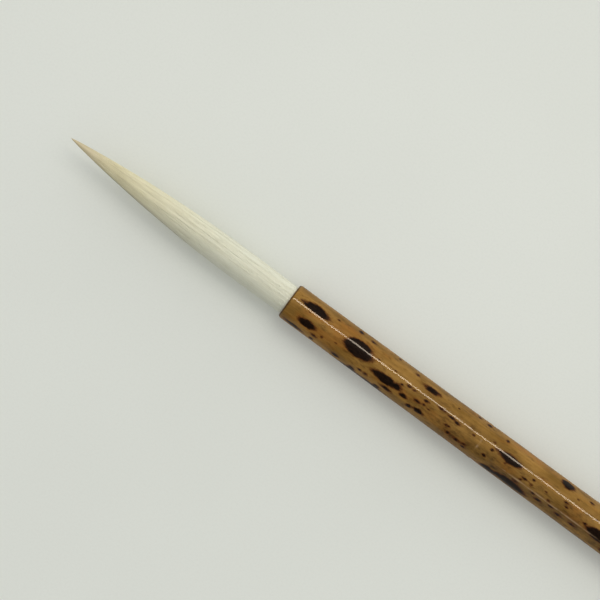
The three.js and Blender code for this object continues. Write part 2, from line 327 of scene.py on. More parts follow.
SMALL_SPOTS = [
    (3.1, -3.27, 4.0, 0.5), (7.3, -3.3, 1.0, 0.4), (12.7, -3.13, 1.7, 0.5), (16.4, -3.25, 1.7, 0.4),
    (17.9, -2.62, 0.9, 0.4), (19.2, -2.6, 1.0, 0.4), (23.7, -2.55, 2.4, 0.5), (22.1, -3.3, 1.5, 0.4),
    (29.0, -2.65, 1.1, 0.6), (32.3, -1.0, 0.8, 0.3), (25.8, -0.2, 0.6, 0.35), (27.0, 0.34, 1.1, 0.45),
    (28.3, 0.28, 1.0, 0.4), (34.3, 0.45, 1.5, 0.42), (36.7, 0.3, 1.5, 0.45), (38.1, 0.1, 1.3, 0.5),
    (9.5, 2.5, 0.6, 0.28), (14.2, 3.17, 1.1, 0.45), (17.1, 2.97, 0.9, 0.28), (22.9, 3.4, 0.5, 0.3),
    (27.2, 2.97, 0.9, 0.35), (19.7, 1.03, 0.6, 0.2), (4.3, 0.45, 0.6, 0.25), (8.8, -1.88, 0.6, 0.5),
    (7.4, -2.53, 1.2, 0.35), (11.5, -1.27, 0.5, 0.3), (23.4, 1.15, 0.5, 0.2), (31.2, 0.0, 0.9, 0.42),
    (41.8, 0.1, 0.7, 0.45), (46.1, -0.1, 0.6, 0.4), (36.6, -1.37, 0.7, 0.4),
    (49.4, -0.65, 0.5, 0.4), (54.0, -0.8, 1.2, 0.35), (53.4, -1.4, 0.6, 0.3), (55.5, 0.0, 0.6, 0.35),
    (55.6, -1.03, 0.7, 0.45), (56.8, -2.1, 1.0, 0.5), (52.9, -2.25, 1.4, 0.45), (45.5, -1.8, 0.8, 0.6),
    (39.7, -2.5, 1.5, 0.5), (37.1, -1.3, 0.7, 0.35), (37.7, -2.35, 0.8, 0.4), (41.3, -2.3, 0.8, 0.4),
    (43.4, 3.3, 1.1, 0.35), (47.7, 2.95, 0.7, 0.4), (41.0, 3.42, 0.8, 0.3), (58.6, -0.4, 0.7, 0.4),
    (59.8, -1.5, 0.9, 0.45), (60.9, -2.2, 1.3, 0.5), (62.7, 0.2, 0.8, 0.4), (63.3, -0.5, 0.7, 0.35),
    (64.3, 1.9, 0.6, 0.3), (65.9, -2.6, 1.5, 0.5), (66.7, 2.9, 0.8, 0.35), (67.8, -0.9, 0.7, 0.4),
    (58.3, -2.6, 1.6, 0.5), (62.8, -2.7, 1.5, 0.5), (69.1, 0.9, 0.6, 0.3), (70.2, 2.4, 0.9, 0.4),
    (31.2, -0.83, 0.7, 0.45), (36.9, 2.48, 0.4, 0.2), (41.5, -2.8, 0.8, 0.35), (45.8, 1.3, 0.6, 0.3),
]
SEEN_LENGTH = 72.0  # the listed spots end here
SEEN_TURN = math.radians(80)
LARGE_SPOTS = (44, (3.0, 7.5), (0.24, 0.36))  # scattered: how many, lengths, width for each length
TINY_SPOTS = (620, (0.5, 1.7), (0.3, 0.6))
SPOT_POINTEDNESS = 1.6
LEAST_SPOT_DEPTH = 0.27  # small spots are as dark in their middle as this half width
FAR_FROM_SPOTS = -0.6
SPOT_MARGIN = 1.5  # a spot counts for surface points up to this far beyond its ends


def culm_radius(x):
    """Radius of the plain tapered culm at a place along it."""
    return MOUTH_RADIUS + (BUTT_RADIUS - MOUTH_RADIUS) * np.clip(x / HANDLE_LENGTH, 0, 1)


def listed_spots():
    """The spots that are listed: place, turn, half length and half widths to each side."""
    rows = list(SPOTS)
    for place, offset, length, width in SMALL_SPOTS:
        rows.append((place, offset, length, width / 2, width / 2))
    made = []
    for place, offset, length, plus, minus in rows:
        # Near the culm's outline a spot is seen at a slant, so its true width is greater.
        share = max(-0.97, min(0.97, offset / float(culm_radius(place))))
        foreshortening = max(0.45, math.sqrt(1 - share * share))
        widths = (plus / foreshortening, minus / foreshortening)
        made.append((place, math.asin(share), length / 2, *widths))
    return made


def scattered_spots():
    """Spots for the rest of the culm, thrown at random: a few large, many small."""
    made = []
    for count, lengths, shape in (LARGE_SPOTS, TINY_SPOTS):
        while count:
            place = RANDOM.uniform(0.5, HANDLE_LENGTH - 1.0)
            turn = RANDOM.uniform(-math.pi, math.pi)
            length = RANDOM.uniform(*lengths)
            half_width = length * RANDOM.uniform(*shape) / 2
            if place - length / 2 < SEEN_LENGTH and abs(turn) < SEEN_TURN:
                continue
            made.append((place, turn, length / 2, half_width, half_width * RANDOM.uniform(0.6, 1.0)))
            count -= 1
    return made


def spot_depth(x, turns):
    """How deep each surface point lies inside the nearest spot, in mm: 0 on its edge."""
    deepest = np.full(x.shape, FAR_FROM_SPOTS)
    for place, turn, half_length, plus, minus in listed_spots() + scattered_spots():
        near = np.abs(x - place) < half_length + SPOT_MARGIN
        across = (turns[near] - turn + math.pi) % TURN - math.pi
        across *= culm_radius(x[near])
        along = np.abs(x[near] - place) / half_length
        share = np.where(across > 0, across / plus, -across / minus)
        # An exponent under 2 along the spot draws its ends out to points.
        reach = np.sqrt(along**SPOT_POINTEDNESS + share**2)
        depth = max((plus + minus) / 2, LEAST_SPOT_DEPTH) * (1 - reach)
        deepest[near] = np.maximum(deepest[near], depth)
    return deepest


def hump(offset, width):
    """A smooth hump: 1 at an offset of 0, and near 0 from about two widths on."""
    return np.exp(-((offset / width) ** 2))


def furrow_share(x):
    """How fully the furrow is formed at a place along the culm, from 0 to 1."""
    start = np.clip((x - NODE_PLACE) / FURROW_START_EASE, 0, 1)
    end = np.clip((NODE_PLACE + FURROW_LENGTH - x) / FURROW_END_EASE, 0, 1)
    return start * start * (3 - 2 * start) * end * end * (3 - 2 * end)


def across_culm(x, turns, middle):
    """Distance round the culm's surface from the line at the turn middle, in mm."""
    return (turns - middle) * culm_radius(x)


def culm_relief(x, turns):
    """Height of the real surface over the plain culm, in mm: furrow, node ring, scar, natural waves."""
    formed = furrow_share(x)
    furrow = -FURROW_DEPTH * formed * hump(across_culm(x, turns, FURROW_TURN), FURROW_WIDTH)
    lip = LIP_HEIGHT * formed * hump(across_culm(x, turns, LIP_TURN), LIP_WIDTH)
    node_ring = NODE_RING_HEIGHT * hump(x - NODE_PLACE, NODE_RING_WIDTH)
    node_dip = -NODE_DIP_DEPTH * hump(x - NODE_PLACE - NODE_DIP_OFFSET, NODE_DIP_WIDTH)
    scar = -SCAR_DEPTH * hump(x - SCAR_PLACE, SCAR_HALF_LENGTH)
    scar = scar * hump(across_culm(x, turns, SCAR_TURN), SCAR_HALF_WIDTH)
    waves = 0.012 * np.sin(x * 0.23 + 2 * turns) + 0.008 * np.sin(x * 0.61 - 3 * turns + 1.0)
    oval = OVALNESS * np.cos(2 * turns + 0.8)
    return furrow + lip + node_ring + node_dip + scar + waves + oval - SKIN_SINK


def lip_highlight_and_pale_ring_marks(x, turns):
    """Where the skin is painted paler: a painted highlight along the furrow's lip, and a paler line
    along the node's ring.
    """
    # The lip's line is a painted highlight, where light would catch the lip.
    lip = hump(across_culm(x, turns, LIP_TURN), PAINTED_LIP_HIGHLIGHT_WIDTH)
    lip *= np.clip((x - PAINTED_LIP_HIGHLIGHT_FROM) / 9.0, 0, 1) * np.clip((PAINTED_LIP_HIGHLIGHT_TO - x) / 15.0, 0, 1)
    ring_trace = PALE_RING_STRENGTH * hump(x - NODE_PLACE, PALE_RING_WIDTH)
    ring_trace *= hump(turns - PALE_RING_TURN, PALE_RING_SPREAD)
    return np.maximum(lip, ring_trace)


def painted_shade_marks(x, turns):
    """Painted shade that darkens the skin: in the furrow, and faintly along the -Y side."""
    # painted shade on the furrow's lower side
    blotches = PAINTED_FURROW_SHADE_STRENGTH * np.exp(-(((x - PAINTED_FURROW_SHADE_PLACE) / PAINTED_FURROW_SHADE_HALF_LENGTH) ** 4))
    blotches *= hump(across_culm(x, turns, PAINTED_FURROW_SHADE_TURN), PAINTED_FURROW_SHADE_HALF_WIDTH)
    # painted shade along the -Y side
    side_shade = PAINTED_SIDE_SHADE_STRENGTH * hump(turns - PAINTED_SIDE_SHADE_TURN, PAINTED_SIDE_SHADE_SPREAD)
    side_shade *= np.clip((x - PAINTED_SIDE_SHADE_FROM) / PAINTED_SIDE_SHADE_EASE, 0, 1)
    return np.maximum(blotches, side_shade)


# ---- handle -----------------------------------------------------------------------------------------

HANDLE_SIDES = 112
NEAR_RING_STEP = 0.3  # along the part with the listed spots
FAR_RING_STEP = 0.5
SOCKET_RADIUS = 3.1
SOCKET_DEPTH = 13.5
SOCKET_MIDDLE = 7.0
SOCKET_CONE = 1.6  # length of the drill's cone at the bottom of the socket
CANAL_RADIUS = 1.1
CANAL_MIDDLE = 110.0
PLUG_BORE_RADIUS = 1.5
PLUG_BORE_DEPTH = 9.0
MOUTH_ROUND = 0.45
MOUTH_EASE = 0.65  # the mouth's rounded edge is drawn out this far along the handle
BUTT_ROUND = 0.6
CUT_EDGE_BANDS = 3  # the first bands of faces at the mouth are cut bamboo, like the bore
MOUTH_RIM = 0.28  # the dark line along the mouth's edge, partly painted shade of the rounded edge, fades out over this length


def bamboo_skin():
    """Lacquered golden bamboo with its natural dark spots, painted shade on the -Y side and in the
    furrow, a painted highlight on the furrow's lip, a paler node line and a dark mouth edge that is
    partly painted shade.
    """
    look = Look("mottled_bamboo")
    patches = look.noise((110, 300, 300), detail=5, roughness=0.6)
    streaks = look.noise((28, 1900, 1900), detail=4, roughness=0.6)
    fibres = look.noise((160, 7500, 7500), detail=3, roughness=0.65)
    warm = look.noise((90, 260, 260), detail=3, roughness=0.6)
    mottles = look.noise((420, 1100, 1100), detail=4, roughness=0.7)

    golden = look.mix(look.steps(patches, 0.3, 0.7), srgb(118, 85, 35), srgb(164, 122, 61))
    golden = look.mix(look.steps(warm, 0.5, 0.66, 0, 0.45), golden, srgb(154, 92, 32))
    golden = look.mix(look.steps(streaks, 0.3, 0.75, 0, 0.38), golden, srgb(92, 64, 18))
    golden = look.mix(look.steps(fibres, 0.35, 0.75, 0, 0.2), golden, srgb(172, 130, 62))
    golden = look.mix(look.steps(mottles, 0.5, 0.72, 0, 0.5), golden, srgb(84, 54, 18))
    # Painted shade: the furrow and the -Y side of the culm darken towards this colour.
    shade = look.maths("ADD", look.attribute("shade"), look.maths("MULTIPLY", mottles, 0.9))
    golden = look.mix(look.steps(shade, 0.45, 1.3, 0, 0.9), golden, srgb(30, 22, 14))

    outline = look.noise((350, 750, 750), detail=2)
    ragged = look.noise((1100, 2300, 2300), detail=4, roughness=0.75)
    coarse = look.maths("MULTIPLY", outline, 0.35)
    wander = look.maths("ADD", coarse, look.maths("MULTIPLY", ragged, 0.65))
    depth = look.maths("ADD", look.attribute("spot_depth"), look.maths("SUBTRACT", wander, 0.5))
    rim = look.mix(look.steps(depth, -0.2, 0.05, 0, 0.85), golden, srgb(84, 42, 16))
    flecks = look.noise((1500, 3800, 3800), detail=3, roughness=0.7)
    core = look.mix(look.steps(flecks, 0.35, 0.8), srgb(20, 9, 4), srgb(42, 26, 15))
    spotted = look.mix(look.steps(depth, -0.04, 0.18), rim, core)
    # A painted highlight along the furrow's lip, and a paler line along the node's ring.
    painted_lip_highlight_and_pale_ring = look.maths("MULTIPLY", look.attribute("lip_highlight_and_pale_ring"), look.steps(mottles, 0.3, 0.6, 0.25, 1.0))
    spotted = look.mix(look.steps(painted_lip_highlight_and_pale_ring, 0.1, 1.0, 0, 0.6), spotted, srgb(196, 162, 124))
    # The dark line along the mouth's rounded edge, partly painted shade of that edge.
    spotted = look.mix(look.steps(look.attribute("rim"), 0, 1, 0, 0.85), spotted, srgb(34, 22, 12))

    look.join(spotted, look.shader.inputs["Base Color"])
    look.join(look.steps(streaks, 0.2, 0.8, 0.4, 0.55), look.shader.inputs["Roughness"])
    look.set(coat_weight=0.27, coat_roughness=0.05, coat_ior=1.5, specular_ior_level=0.02)
    relief = look.maths("ADD", look.maths("MULTIPLY", streaks, 0.6), look.maths("MULTIPLY", fibres, 0.4))
    look.join(look.bump(relief, 0.00002, 0.5), look.shader.inputs["Normal"])
    runs = look.noise((260, 800, 800), detail=3, roughness=0.6)
    look.join(look.bump(runs, 0.00002, 1.0), look.shader.inputs["Coat Normal"])
    return look.material


def bamboo_cut():
    """The sawn ends and the bore: dark, dry, with the ends of the fibre bundles as paler dots."""
    look = Look("cut_bamboo")
    bundles = look.node("ShaderNodeTexVoronoi", feature="F1")
    bundles.inputs["Scale"].default_value = 1.0
    look.join(look.place((700, 2600, 2600)), bundles.inputs["Vector"])
    dots = look.steps(bundles.outputs["Distance"], 0.18, 0.42, 1, 0)
    blotches = look.noise((600, 900, 900), detail=4)
    base = look.mix(look.steps(blotches, 0.3, 0.7), srgb(84, 52, 26), srgb(120, 80, 42))
    look.join(look.mix(dots, base, srgb(168, 128, 78)), look.shader.inputs["Base Color"])
    look.join(look.steps(blotches, 0.2, 0.8, 0.5, 0.75), look.shader.inputs["Roughness"])
    look.join(look.bump(dots, 0.00003, 0.6), look.shader.inputs["Normal"])
    return look.material


def arc(centre, reach, start, end, steps):
    """Places and radii along a rounded edge, from one angle to another, in degrees."""
    angles = np.radians(np.linspace(start, end, steps))
    return [(centre[0] + reach[0] * math.cos(a), centre[1] + reach[1] * math.sin(a)) for a in angles]


def culm_outside():
    """Places and radii of the culm's skin, from the rounded mouth to the rounded butt."""
    mouth_centre = (MOUTH_EASE, MOUTH_RADIUS - MOUTH_ROUND)
    mouth_edge = arc(mouth_centre, (MOUTH_EASE, MOUTH_ROUND), 180, 90, 9)
    butt_centre = (HANDLE_LENGTH - BUTT_ROUND, BUTT_RADIUS - BUTT_ROUND)
    butt_edge = arc(butt_centre, (BUTT_ROUND, BUTT_ROUND), 90, 0, 8)
    near = np.arange(MOUTH_EASE + 0.2, SEEN_LENGTH, NEAR_RING_STEP)
    far = np.arange(SEEN_LENGTH, HANDLE_LENGTH - BUTT_ROUND - 0.2, FAR_RING_STEP)
    skin = [(x, float(culm_radius(x))) for x in np.concatenate([near, far])]
    return mouth_edge + skin + butt_edge


def culm_inside():
    """Places and radii from the butt's face through plug bore, canal and socket to the mouth."""
    bore_end = HANDLE_LENGTH - PLUG_BORE_DEPTH
    butt_face = [(HANDLE_LENGTH, 2.9), (HANDLE_LENGTH, 2.2)]
    plug_bore = [
        (HANDLE_LENGTH, PLUG_BORE_RADIUS + 0.1), (HANDLE_LENGTH - 0.1, PLUG_BORE_RADIUS),
        (bore_end, PLUG_BORE_RADIUS),
    ]
    canal = [
        (bore_end - 0.5, CANAL_RADIUS), (CANAL_MIDDLE, CANAL_RADIUS),
        (SOCKET_DEPTH + SOCKET_CONE, CANAL_RADIUS),
    ]
    socket = [
        (SOCKET_DEPTH, SOCKET_RADIUS), (SOCKET_MIDDLE, SOCKET_RADIUS), (0.4, SOCKET_RADIUS),
        (0.06, SOCKET_RADIUS), (0.0, SOCKET_RADIUS + 0.03),
    ]
    return butt_face + plug_bore + canal + socket


def handle_piece(materials):
    """The whole culm as one hollow body, with its marks as attributes and its cut faces darker."""
    turns = turns_round(HANDLE_SIDES)
    outside = culm_outside()
    inside = culm_inside()
    # The marks are placed by turns from -half to half a turn, 0 on top.
    facing = (turns + math.pi) % TURN - math.pi
    rings = []
    for i, (x, radius) in enumerate(outside + inside):
        relief = culm_relief(x, facing) if i < len(outside) else 0.0
        rings.append(ring(x, radius + relief, turns))
    places = np.array([x for x, _ in outside + inside])
    all_x, all_turns = np.meshgrid(places, facing, indexing="ij")
    marks = {
        "spot_depth": [spot_depth(all_x, all_turns)],
        "lip_highlight_and_pale_ring": [lip_highlight_and_pale_ring_marks(all_x, all_turns)],
        "shade": [painted_shade_marks(all_x, all_turns)],
        "rim": [np.clip(1.4 - all_x / MOUTH_RIM, 0, 1)],
    }
    piece = mesh_piece("handle_culm", [np.stack(rings)], materials, True, marks, sharp_degrees=40)
    cut_from = (len(outside) - 1) * HANDLE_SIDES
    indices = np.zeros(len(piece.data.polygons), np.int32)
    indices[cut_from:] = 1
    indices[:CUT_EDGE_BANDS * HANDLE_SIDES] = 1
    piece.data.polygons.foreach_set("material_index", indices)
    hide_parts("bamboo_handle")
    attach(piece, "handle")


# ---- butt plug --------------------------------------------------------------------------------------

PLUG_SIDES = 64
PLUG_SEAT_GAP = 0.1  # between the butt's face and the plug's head
PLUG_HEAD_RADIUS = 2.3
PLUG_CROWN_RADIUS = 1.6
PLUG_HOLE_RADIUS = 0.6
PLUG_SHANK_RADIUS = 1.4
PLUG_SHANK_LENGTH = 8.4
PLUG_SHANK_CHAMFER = 0.4
TURNED_GROOVE_DEPTH = 0.06
CROWN_GROOVE = (1.25, 1.18, 1.11)  # outer, deepest and inner radius of the groove in the crown
CROWN_GROOVE_DEPTH = 0.05


def dark_wood():
    """Dark turned hardwood with fine pores and a thin satin finish."""
    look = Look("turned_dark_wood")
    grain = look.noise((150, 1700, 1700), detail=5, roughness=0.6)
    pores = look.noise((900, 6000, 6000), detail=3, roughness=0.7)
    base = look.mix(look.steps(grain, 0.3, 0.7), srgb(58, 32, 18), srgb(104, 62, 34))
    base = look.mix(look.steps(pores, 0.55, 0.75, 0, 0.6), base, srgb(30, 16, 9))
    look.join(base, look.shader.inputs["Base Color"])
    look.join(look.steps(grain, 0.2, 0.8, 0.32, 0.5), look.shader.inputs["Roughness"])
    look.set(coat_weight=0.4, coat_roughness=0.2)
    look.join(look.bump(pores, 0.00003, 0.6), look.shader.inputs["Normal"])
    return look.material


def plug_piece(material):
    """A turned peg with a domed head, two fine turned grooves and a hole for a hanging loop."""
    seat = HANDLE_LENGTH + PLUG_SEAT_GAP
    top = distance_from_mouth(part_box("butt_plug")[1])
    tip = HANDLE_LENGTH - PLUG_SHANK_LENGTH
    head = PLUG_HEAD_RADIUS
    hole = PLUG_HOLE_RADIUS
    shank = PLUG_SHANK_RADIUS
    edge = [(seat, head - 0.1), (seat + 0.08, head)]
    side_groove = [(seat + 0.3, head), (seat + 0.36, head - TURNED_GROOVE_DEPTH), (seat + 0.42, head)]
    dome_start = seat + 0.46
    dome_radius = head - PLUG_CROWN_RADIUS
    dome = arc((dome_start, PLUG_CROWN_RADIUS), (top - dome_start, dome_radius), 90, 0, 9)
    outer, bottom, inner = CROWN_GROOVE
    crown = [(top, outer), (top - CROWN_GROOVE_DEPTH, bottom), (top, inner), (top, hole + 0.12)]
    bore = [(top - 0.12, hole), (tip + 0.1, hole)]
    peg = [
        (tip, hole + 0.1), (tip, shank - 0.23), (tip + PLUG_SHANK_CHAMFER, shank),
        (seat - 0.4, shank), (seat - 0.02, shank),
    ]
    turns = turns_round(PLUG_SIDES)
    outline = edge + side_groove + dome + crown + bore + peg
    tube = np.stack([ring(x, radius, turns) for x, radius in outline])
    piece = mesh_piece("plug_peg", [tube], [material], True, sharp_degrees=35)
    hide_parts("butt_plug")
    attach(piece, "handle")


# ---- tuft -------------------------------------------------------------------------------------------

TUFT_RADIUS = 2.96
TUFT_FULLEST = 10.0  # the tuft is at its widest this far from the mouth
TUFT_MOUTH_RADIUS = 2.86
TUFT_FULLNESS = 0.81  # a lower number makes the tuft fuller towards its point
ROOT_RADIUS = 2.6
ROOT_NECK = 2.5
ROOT_LENGTH = 11.1
POINT_DRIFT = 0.3  # the point leans this far to +Y
POINT_LIFT = 2.0  # and this far up
RING_STEP = 1.5  # spacing of the rings along a hair; the pieces meet on a ring
RING_SPARE = 0.3  # least distance of a ring from a hair's end
BODY_SIDES = 96
BODY_SHARE = 0.95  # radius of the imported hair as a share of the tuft's
BODY_END_GAP = 0.4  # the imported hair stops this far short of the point

STRANDS = 1100
STRAND_THICKNESS = (0.07, 0.13)
STRAND_DEPTHS = 0.035  # strands lie up to this share of the tuft's radius below its surface
STRAND_ROOT = -2.0
STRAND_LAYERS = 3  # times that the strands go round the tuft
LONG_SHARE = 0.62  # this share of the strands reaches the point
LONG_ENDS = 5.0  # they end up to this far short of it
SHORT_REACH = (24, 45)
STRAND_WANDER = 0.035
STRAND_WAVE = 0.02
SHORTEST_STRETCH = 0.2
FLYAWAYS = 16  # loose hairs that stand off a little
FLYAWAY_THICKNESS = 0.06
FLYAWAY_START = (4, 34)
FLYAWAY_LENGTH = (9, 16)
FLYAWAY_LIFT = (0.08, 0.3)

TIP_SHADE_TURN = math.radians(-95)  # painted shade on the tuft's -Y side, towards its point
TIP_SHADE_SPREAD = math.radians(30)
TIP_SHADE_FROM = 14.0
TIP_SHADE_EASE = 18.0

# The nodes that each piece of the tuft takes the place of, from the handle to the point.
COVER_NODES = [
    ["cover_hair_root"], ["cover_hair_lower"], ["cover_hair_middle"], ["cover_hair_upper", "hair_point"],
]
INNER_NODES = [
    ["core_hair_root", "belly_hair_root"], ["core_hair_lower", "belly_hair_lower"],
    ["core_hair_middle", "belly_hair_middle"], ["core_hair_upper"],
]


def tuft_radius(distance):
    """Outer radius of the tuft at a distance from the mouth, hidden root included."""
    if distance < 0:
        share = min(-distance / ROOT_NECK, 1.0)
        return TUFT_MOUTH_RADIUS + (ROOT_RADIUS - TUFT_MOUTH_RADIUS) * share
    if distance < TUFT_FULLEST:
        turn = (math.pi / 2) * (1 - distance / TUFT_FULLEST)
        return TUFT_RADIUS - (TUFT_RADIUS - TUFT_MOUTH_RADIUS) * (1 - math.cos(turn))
    share = max((TUFT_LENGTH - distance) / (TUFT_LENGTH - TUFT_FULLEST), 0.0)
    return TUFT_RADIUS * math.sin((math.pi / 2) * share**TUFT_FULLNESS)


def tuft_centre(distance):
    """Sideways and upward offset of the tuft's middle, as it leans towards its point."""
    share = max(distance, 0.0) / TUFT_LENGTH
    return POINT_DRIFT * share**1.4, POINT_LIFT * share**2.1


def zone_edges():
    """Distances from the mouth where the hair is parted into pieces: halfway between hinges."""
    middles = [(a + b) / 2 for a, b in zip(HINGE_PLACES, HINGE_PLACES[1:])]
    return [-ROOT_LENGTH, *middles, TUFT_LENGTH]


def rings_between(start, end):
    """Distances of a hair's rings from start to end. Zone edges fall on whole ring steps."""
    first = math.ceil((start + RING_SPARE) / RING_STEP) * RING_STEP
    inner = np.arange(first, end - RING_SPARE, RING_STEP)
    return np.concatenate([[start], inner, [end]])


class Strand:
    """One hair or lock: where it lies round the tuft, how deep, how thick and how far it reaches."""

    def __init__(self, turn, depth, thickness, start, end):
        self.turn = turn
        self.depth = depth
        self.thickness = thickness
        self.start = start
        self.end = end
        self.tone = RANDOM.random()
        self.wander = RANDOM.gauss(0, STRAND_WANDER)
        self.wave = RANDOM.gauss(0, STRAND_WAVE)
        self.phase = RANDOM.uniform(0, TURN)
        self.lift = 0.0

    def place(self, distance):
        """The middle of the strand at a distance from the mouth, and its outward direction."""
        share = max(distance, 0.0) / TUFT_LENGTH
        turn = self.turn + self.wander * share * 3 + self.wave * math.sin(self.phase + share * 9)
        radius = tuft_radius(distance) * self.depth - self.thickness * 0.5
        grown = max(distance - self.start, 0.0) / self.reach()
        radius = max(radius, 0.02 * (1 - share)) + self.lift * grown**3
        side, up = tuft_centre(distance)
        out = (math.sin(turn), math.cos(turn))
        return (side + radius * out[0], up + radius * out[1]), out

    def reach(self):
        return max(self.end - self.start, 1.0)

    def width(self, distance):
        """Width of the strand, which tapers to its end and thins where the tuft narrows."""
        left = (self.end - distance) / self.reach()
        crowding = min(1.0, 0.35 + tuft_radius(distance) / TUFT_RADIUS)
        return self.thickness * crowding * max(min(left * 2.2, 1.0), 0.16)

    def tube(self, start, end):
        """The stretch of the strand between two distances as rings of three points, or None."""
        start = max(start, self.start)
        end = min(end, self.end)
        if end - start < SHORTEST_STRETCH:
            return None
        rings = []
        for distance in rings_between(start, end):
            (y, z), out = self.place(distance)
            half = self.width(distance) / 2
            corners = [(0.9 * half, 0), (-0.6 * half, half), (-0.6 * half, -half)]
            rings.append([
                (-distance, y + r * out[0] + s * out[1], z + r * out[1] - s * out[0])
                for r, s in corners
            ])
        return np.array(rings)


def make_strands():
    """All the separate locks on the tuft's surface, and last the few hairs that stand off."""
    strands = []
    for i in range(STRANDS):
        turn = TURN * (i + RANDOM.random()) / STRANDS * STRAND_LAYERS
        depth = 1.0 - STRAND_DEPTHS * RANDOM.random() ** 1.5
        thickness = RANDOM.uniform(*STRAND_THICKNESS)
        if RANDOM.random() < LONG_SHARE:
            end = TUFT_LENGTH - RANDOM.random() ** 2 * LONG_ENDS
        else:
            end = RANDOM.uniform(*SHORT_REACH)
        strands.append(Strand(turn, depth, thickness, STRAND_ROOT, end))
    for _ in range(FLYAWAYS):
        start = RANDOM.uniform(*FLYAWAY_START)
        end = min(start + RANDOM.uniform(*FLYAWAY_LENGTH), TUFT_LENGTH - 1.5)
        hair = Strand(RANDOM.uniform(0, TURN), 1.0, FLYAWAY_THICKNESS, start, end)
        hair.lift = RANDOM.uniform(*FLYAWAY_LIFT)
        strands.append(hair)
    return strands


def hair_look(name, white, straw, shade, tone_swing):
    """Goat hair: creamy white at the handle, straw yellow at the point, each hair of its own tone."""
    look = Look(name)
    along = look.attribute("along")
    tone = look.attribute("tone")
    lengthwise = look.node("ShaderNodeCombineXYZ")
    look.join(look.maths("MULTIPLY", along, 7.0), lengthwise.inputs["X"])
    look.join(look.maths("MULTIPLY", tone, 60.0), lengthwise.inputs["Y"])
    mottle = look.node("ShaderNodeTexNoise")
    mottle.inputs["Scale"].default_value = 1.0
    mottle.inputs["Detail"].default_value = 3.0
    look.join(lengthwise.outputs["Vector"], mottle.inputs["Vector"])
    scales = look.node("ShaderNodeTexNoise")
    scales.inputs["Scale"].default_value = 40.0
    look.join(lengthwise.outputs["Vector"], scales.inputs["Vector"])

    colour = look.mix(look.steps(along, 0.2, 1.0), white, straw)
    colour = look.mix(look.steps(along, 0.8, 1.0, 0, 0.5), colour, srgb(178, 152, 104))
    colour = look.mix(look.steps(tone, 0.0, 1.0, 0, tone_swing), colour, shade)
    colour = look.mix(look.steps(mottle.outputs["Fac"], 0.4, 0.7, 0, 0.12), colour, shade)
    # Painted shade on the tuft's -Y side near its point.
    colour = look.mix(look.steps(look.attribute("tip_shade"), 0, 1, 0, 0.7), colour, srgb(120, 112, 84))
    look.join(colour, look.shader.inputs["Base Color"])
    look.join(look.steps(tone, 0.0, 1.0, 0.45, 0.62), look.shader.inputs["Roughness"])
    look.set(specular_ior_level=0.4)
    look.join(look.bump(scales.outputs["Fac"], 0.00001, 0.4), look.shader.inputs["Normal"])
    return look.material


def body_ring(distance, turns):
    """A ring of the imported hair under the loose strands, with fine lengthwise ridges."""
    coarse = 0.55 * np.sin(29 * turns + 0.05 * distance)
    fine = 0.45 * np.sin(47 * turns - 0.04 * distance + 1)
    radius = tuft_radius(distance) * (BODY_SHARE + 0.01 * (coarse + fine))
    return ring(-distance, np.maximum(radius, 0.004), turns, tuft_centre(distance))


def tip_shade_share(strand, tube):
    """How much painted shade each point of a strand gets: only low on its -Y side, near the point."""
    off = (strand.turn - TIP_SHADE_TURN + math.pi) % TURN - math.pi
    return hump(off, TIP_SHADE_SPREAD) * np.clip((-tube[:, :, 0] - TIP_SHADE_FROM) / TIP_SHADE_EASE, 0, 1)


def bend_over_hinge(piece, nodes):
    """Bakes a piece of the tuft's placement into its mesh and hides the nodes that it takes the place
    of.
    """
    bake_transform(piece)
    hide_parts(*nodes)


def tuft_pieces():
    """For each hinge one piece of strands and one of packed hair, both in the zone round that hinge."""
    cover = hair_look("goat_hair", srgb(236, 235, 214), srgb(242, 232, 190), srgb(194, 186, 152), 0.2)
    packed = hair_look("packed_hair", srgb(222, 218, 198), srgb(218, 206, 168), srgb(176, 166, 138), 0.2)
    strands = make_strands()
    turns = turns_round(BODY_SIDES)
    edges = zone_edges()
    for zone, (start, end) in enumerate(zip(edges, edges[1:])):
        found = [(strand, strand.tube(start, end)) for strand in strands]
        found = [(strand, tube) for strand, tube in found if tube is not None]
        tubes = [tube for _, tube in found]
        along = [-tube[:, :, 0] / TUFT_LENGTH for tube in tubes]
        tone = [strand.tone for strand, _ in found]
        tip_shade = [tip_shade_share(strand, tube) for strand, tube in found]
        hair = mesh_piece(f"tuft_hair_{zone + 1}", tubes, [cover],
                          attributes={"along": along, "tone": tone, "tip_shade": tip_shade})
        bend_over_hinge(hair, COVER_NODES[zone])

        body_end = min(end, TUFT_LENGTH - BODY_END_GAP)
        body = np.stack([body_ring(d, turns) for d in rings_between(start, body_end)])
        packing = mesh_piece(f"tuft_body_{zone + 1}", [body], [packed],
                             attributes={"along": [-body[:, :, 0] / TUFT_LENGTH], "tone": [0.5]})
        bend_over_hinge(packing, INNER_NODES[zone])


# ---- bindings, glue and seal inside the socket ------------------------------------------------------

THREAD_SIDES = 8
THREAD_HALF = 0.13
THREAD_END_GAP = 0.14
STEPS_EACH_TURN = 36
CORE_WINDING = (1.62, 6)  # radius and number of turns
COVER_WINDING = (2.48, 9)
SLEEVE_SIDES = 64
GLUE_UNEVEN = 0.25
SEAL_MIDDLE = 0.05  # radius of the flat middle of the drop, which closes it
SEAL_REACH = 2.5
SEAL_EDGE = 0.12


